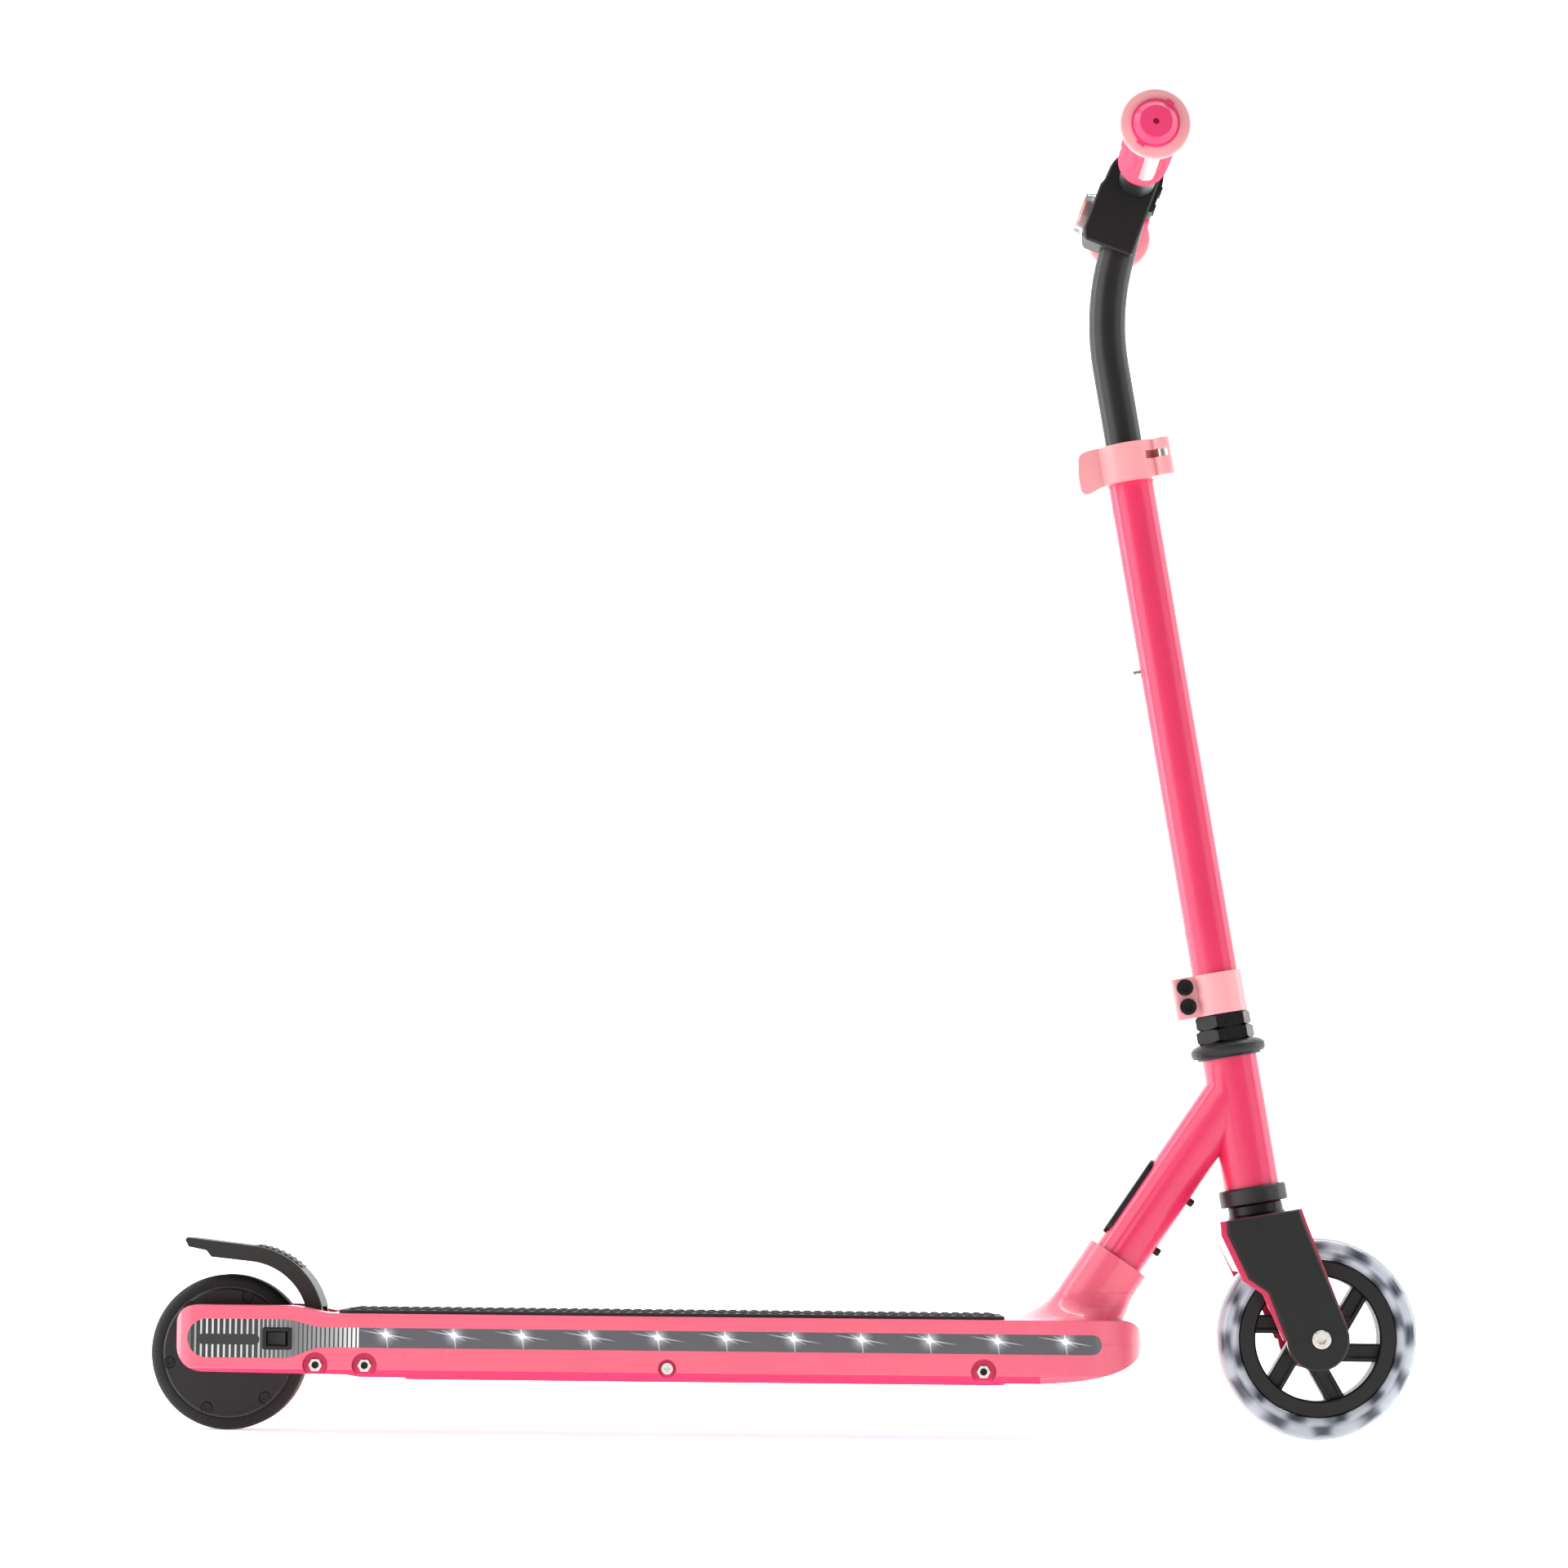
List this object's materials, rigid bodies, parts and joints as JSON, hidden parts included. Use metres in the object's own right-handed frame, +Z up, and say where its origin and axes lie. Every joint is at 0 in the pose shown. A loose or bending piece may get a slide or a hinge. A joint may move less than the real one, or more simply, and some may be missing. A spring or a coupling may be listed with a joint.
{
  "type": "electric kick scooter",
  "caption": "Child's electric kick scooter with a T handlebar on a clamped height column, a lit clear front tyre, lit deck sides and a rear hub motor under a fender brake.",
  "frame": {"origin": "on the ground at the middle of the overall length and width", "axes": "+X forward, +Y to the rider's left, +Z up"},
  "size_m": [0.7534, 0.39, 0.7754],
  "materials": {
    "coral_plastic": "soft gloss moulded plastic",
    "pale_pink_plastic": "soft gloss moulded plastic",
    "hot_pink_plastic": "soft gloss moulded plastic",
    "hot_pink_paint": "gloss powder coat",
    "pink_tube_paint": "gloss powder coat",
    "black_satin_paint": "satin powder coat",
    "black_plastic": "matt",
    "grey_plastic": "matt",
    "pink_grip": "satin",
    "red_pink_plastic": "gloss",
    "mat_rubber": "matt, textured",
    "black_rubber": "matt",
    "clear_tyre": "clear, smooth",
    "light_strip": "smoked, clear",
    "graphic_film": "printed under gloss",
    "led_white": "lit",
    "circuit_board": "solder mask",
    "zinc_steel": "zinc plated",
    "bearing_steel": "ground",
    "black_steel": "black oxide",
    "button_red": "gloss",
    "battery_wrap": "shrink film",
    "alloy": "die cast",
    "motor_core": "laminated core with windings"
  },
  "bodies": {
    "chassis": {"neck_frame": "hot_pink_paint", "deck_plate": "zinc_steel", "deck_upper_shell": "coral_plastic", "neck_front_cover": "coral_plastic", "deck_lower_shell": "coral_plastic", "bottom_cover": "hot_pink_plastic", "grip_mat": "mat_rubber", "light_strips": "light_strip", "graphic_panels": "graphic_film", "led_boards": "circuit_board", "battery_pack": "battery_wrap", "motor_controller": "alloy", "switch_bezel": "black_plastic", "charging_socket": "black_plastic", "side_fixings": "zinc_steel", "deck_screws": "black_steel", "headset_cups": "black_steel", "headset_bearings": "bearing_steel", "neck_pad": "black_rubber", "motor_axle": "zinc_steel", "axle_nuts": "zinc_steel", "motor_stator": "motor_core", "fender_pin": "zinc_steel", "fender_spring": "black_steel"},
    "steering": {"crown_race": "black_steel", "dust_cover": "black_plastic", "headset_nuts": "black_steel", "fork": "hot_pink_paint", "fork_covers": "black_plastic", "front_axle": "zinc_steel", "front_axle_spacers": "zinc_steel", "column_tube": "pink_tube_paint", "column_collar": "pale_pink_plastic", "collar_bolts": "black_steel", "clamp_ring": "pale_pink_plastic", "column_bush": "black_plastic", "clamp_skewer": "zinc_steel"},
    "front_wheel": {"front_rim": "black_plastic", "wheel_light_ring": "led_white", "front_tyre": "clear_tyre", "front_bearings": "bearing_steel"},
    "rear_wheel": {"rear_tyre": "black_rubber", "motor_shell": "alloy", "motor_covers": "grey_plastic", "motor_cover_screws": "black_steel", "motor_bearings": "bearing_steel"},
    "handlebar": {"t_bar": "black_satin_paint", "snap_button": "zinc_steel", "throttle_housing": "black_plastic", "housing_cover": "black_plastic", "button_bezel": "clear_tyre", "throttle_switch": "black_plastic", "housing_screws": "black_steel", "grips": "pink_grip", "grip_flanges": "pale_pink_plastic", "end_caps": "red_pink_plastic"},
    "clamp_lever": {"clamp_lever": "pale_pink_plastic"},
    "throttle_button": {"throttle_button": "button_red"},
    "switch_rocker": {"rocker_cap": "black_plastic"},
    "fender": {"fender": "grey_plastic"}
  },
  "joints": [
    {"name": "steering_turn", "type": "hinge", "parent": "chassis", "child": "steering", "pos_m": [0.30402, 0, 0], "axis": [-0.1736, 0, 0.9848], "range_deg": [-80, 80]},
    {"name": "front_wheel_spin", "type": "hinge", "parent": "steering", "child": "front_wheel", "pos_m": [0.3162, 0, 0.0605], "axis": [0, 1, 0], "continuous": true},
    {"name": "rear_wheel_spin", "type": "hinge", "parent": "chassis", "child": "rear_wheel", "pos_m": [-0.3307, 0, 0.046], "axis": [0, 1, 0], "continuous": true},
    {"name": "handlebar_height", "type": "slide", "parent": "steering", "child": "handlebar", "axis": [-0.1736, 0, 0.9848], "range_m": [0, 0.0984], "deforming": ["snap_button"]},
    {"name": "clamp_lever_turn", "type": "hinge", "parent": "steering", "child": "clamp_lever", "pos_m": [0.22022, -0.0136, 0.59448], "axis": [-0.1736, 0, 0.9848], "range_deg": [0, 135]},
    {"name": "throttle_press", "type": "slide", "parent": "handlebar", "child": "throttle_button", "axis": [0.9397, 0, -0.342], "range_m": [0, 0.003], "stiffness_N_per_m": 900, "springref_m": -0.001},
    {"name": "switch_rock", "type": "hinge", "parent": "chassis", "child": "switch_rocker", "pos_m": [-0.2981, -0.0484, 0.0552], "axis": [0, 0, 1], "range_deg": [0, 16]},
    {"name": "fender_press", "type": "hinge", "parent": "chassis", "child": "fender", "pos_m": [-0.2777, 0, 0.065], "axis": [0, -1, 0], "range_deg": [0, 16], "stiffness_Nm_per_rad": 0.6, "springref_deg": -28.65}
  ]
}
